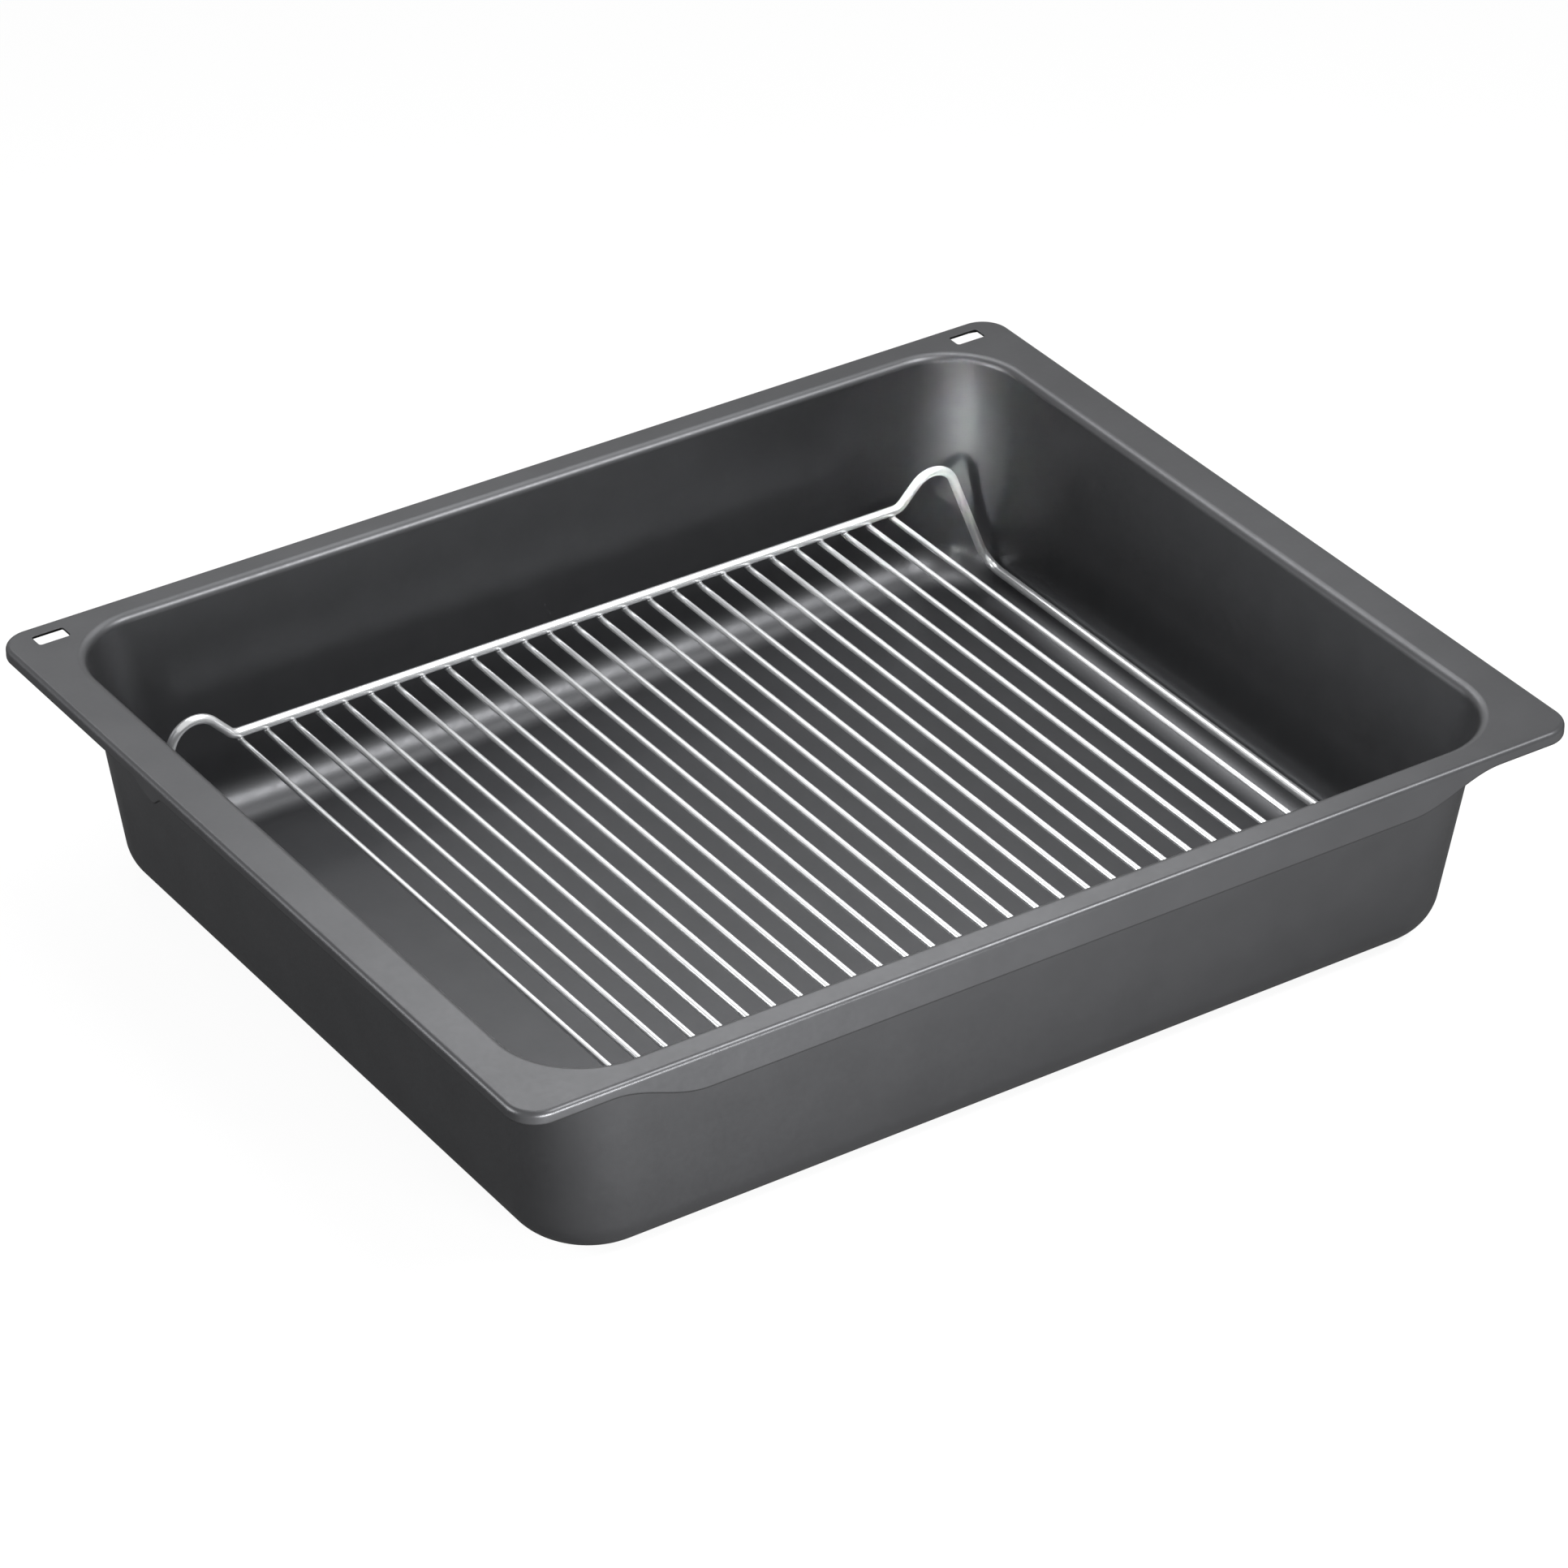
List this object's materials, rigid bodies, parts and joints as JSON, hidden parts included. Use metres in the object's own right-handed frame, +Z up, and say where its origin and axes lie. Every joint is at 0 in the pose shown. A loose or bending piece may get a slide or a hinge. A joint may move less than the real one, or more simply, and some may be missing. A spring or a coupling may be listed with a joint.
{
  "type": "roasting pan with rack",
  "caption": "Deep rectangular roasting pan of enamelled sheet steel with a flanged rim, and a lift-out chromed wire rack that carries the roast above the drippings.",
  "frame": {"origin": "middle of the underside of the pan's floor", "axes": "+X along the pan's wide edge to the right, +Y to the rear edge with the two slots, +Z up out of the pan"},
  "size_m": [0.455, 0.375, 0.0935],
  "materials": {
    "enamel": "anthracite vitreous enamel, satin gloss",
    "chrome_wire": "bright chrome plating"
  },
  "bodies": {
    "pan": {"pan": "enamel"},
    "rack": {"front_wire": "chrome_wire", "rear_wire": "chrome_wire", "left_rail": "chrome_wire", "right_rail": "chrome_wire", "loop_front_left": "chrome_wire", "loop_front_right": "chrome_wire", "loop_rear_left": "chrome_wire", "loop_rear_right": "chrome_wire", "rod_01": "chrome_wire", "rod_02": "chrome_wire", "rod_03": "chrome_wire", "rod_04": "chrome_wire", "rod_05": "chrome_wire", "rod_06": "chrome_wire", "rod_07": "chrome_wire", "rod_08": "chrome_wire", "rod_09": "chrome_wire", "rod_10": "chrome_wire", "rod_11": "chrome_wire", "rod_12": "chrome_wire", "rod_13": "chrome_wire", "rod_14": "chrome_wire", "rod_15": "chrome_wire", "rod_16": "chrome_wire", "rod_17": "chrome_wire", "rod_18": "chrome_wire", "rod_19": "chrome_wire", "rod_20": "chrome_wire", "rod_21": "chrome_wire", "rod_22": "chrome_wire", "rod_23": "chrome_wire", "rod_24": "chrome_wire", "rod_25": "chrome_wire", "rod_26": "chrome_wire", "rod_27": "chrome_wire"}
  },
  "joints": [
    {"name": "rack_lift", "type": "slide", "parent": "pan", "child": "rack", "axis": [0, 0, 1], "range_m": [0, 0.12]}
  ]
}
